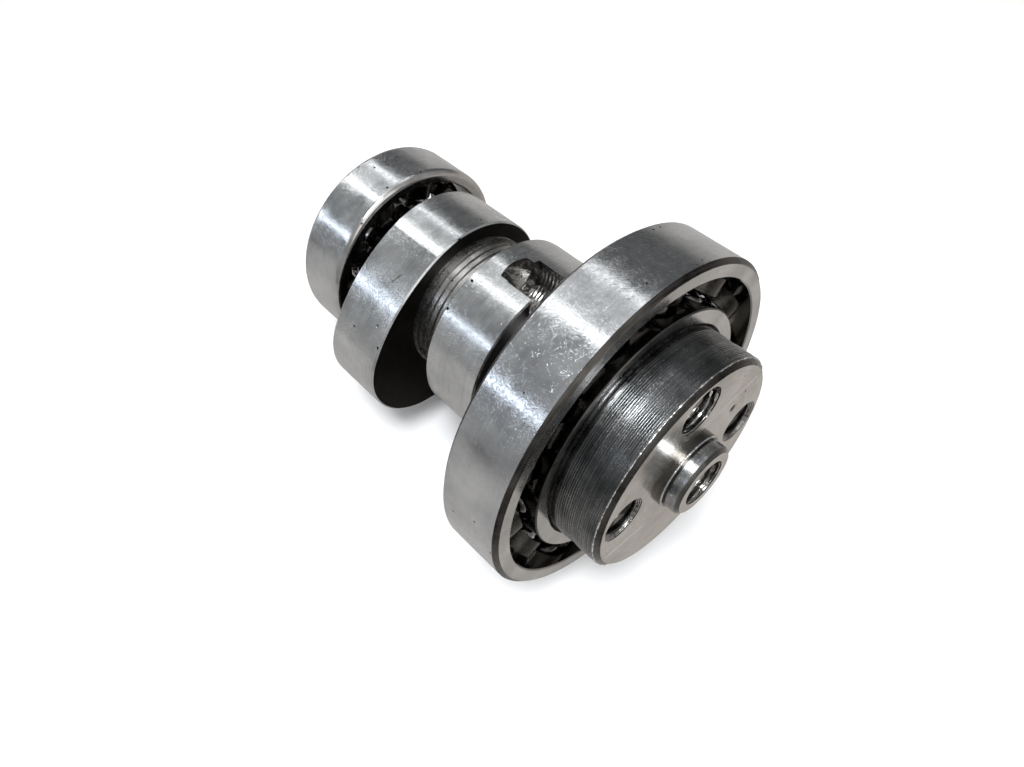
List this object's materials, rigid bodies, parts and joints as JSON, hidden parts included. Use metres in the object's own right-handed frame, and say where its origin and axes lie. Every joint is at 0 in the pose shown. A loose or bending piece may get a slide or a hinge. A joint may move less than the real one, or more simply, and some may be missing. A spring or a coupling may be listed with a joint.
{
  "type": "camshaft",
  "caption": "Short engine camshaft with cam lobes, pressed-on open ball bearings and a drilled sprocket flange with a centring boss.",
  "frame": {"origin": "on the shaft's axis, in the plane of the small bearing's outer face, on which the part stands", "axes": "+Z along the shaft from the small bearing to the sprocket flange; +X through the two sprocket screw holes"},
  "size_m": [0.047, 0.047, 0.0595],
  "materials": {
    "shaft_steel": "hardened steel, ground on lobes and face, turned elsewhere",
    "bearing_ring_steel": "ground bearing steel",
    "cage_steel": "pressed sheet steel with an oil film",
    "rivet_steel": "headed wire steel",
    "ball_steel": "lapped bearing steel"
  },
  "bodies": {
    "shaft": {"camshaft": "shaft_steel", "large_bearing_inner_ring": "bearing_ring_steel", "small_bearing_inner_ring": "bearing_ring_steel"},
    "large_outer": {"large_bearing_outer_ring": "bearing_ring_steel"},
    "large_cage": {"large_bearing_cage_upper": "cage_steel", "large_bearing_cage_lower": "cage_steel", "large_bearing_cage_rivets": "rivet_steel", "large_bearing_ball_01": "ball_steel", "large_bearing_ball_02": "ball_steel", "large_bearing_ball_03": "ball_steel", "large_bearing_ball_04": "ball_steel", "large_bearing_ball_05": "ball_steel", "large_bearing_ball_06": "ball_steel", "large_bearing_ball_07": "ball_steel", "large_bearing_ball_08": "ball_steel", "large_bearing_ball_09": "ball_steel", "large_bearing_ball_10": "ball_steel", "large_bearing_ball_11": "ball_steel", "large_bearing_ball_12": "ball_steel", "large_bearing_ball_13": "ball_steel"},
    "small_outer": {"small_bearing_outer_ring": "bearing_ring_steel"},
    "small_cage": {"small_bearing_cage_upper": "cage_steel", "small_bearing_cage_lower": "cage_steel", "small_bearing_cage_rivets": "rivet_steel", "small_bearing_ball_01": "ball_steel", "small_bearing_ball_02": "ball_steel", "small_bearing_ball_03": "ball_steel", "small_bearing_ball_04": "ball_steel", "small_bearing_ball_05": "ball_steel", "small_bearing_ball_06": "ball_steel", "small_bearing_ball_07": "ball_steel", "small_bearing_ball_08": "ball_steel", "small_bearing_ball_09": "ball_steel"}
  },
  "joints": [
    {"name": "large_bearing_spin", "type": "hinge", "parent": "shaft", "child": "large_outer", "pos_m": [0, 0, 0.04515], "axis": [0, 0, 1], "continuous": true},
    {"name": "large_cage_spin", "type": "hinge", "parent": "shaft", "child": "large_cage", "pos_m": [0, 0, 0.04515], "axis": [0, 0, 1], "continuous": true},
    {"name": "small_bearing_spin", "type": "hinge", "parent": "shaft", "child": "small_outer", "pos_m": [0, 0, 0.004], "axis": [0, 0, 1], "continuous": true},
    {"name": "small_cage_spin", "type": "hinge", "parent": "shaft", "child": "small_cage", "pos_m": [0, 0, 0.004], "axis": [0, 0, 1], "continuous": true}
  ],
  "couplings": [
    {"joint": "large_cage_spin", "follows": "large_bearing_spin", "ratio": 0.56184},
    {"joint": "small_cage_spin", "follows": "small_bearing_spin", "ratio": 0.59923}
  ]
}
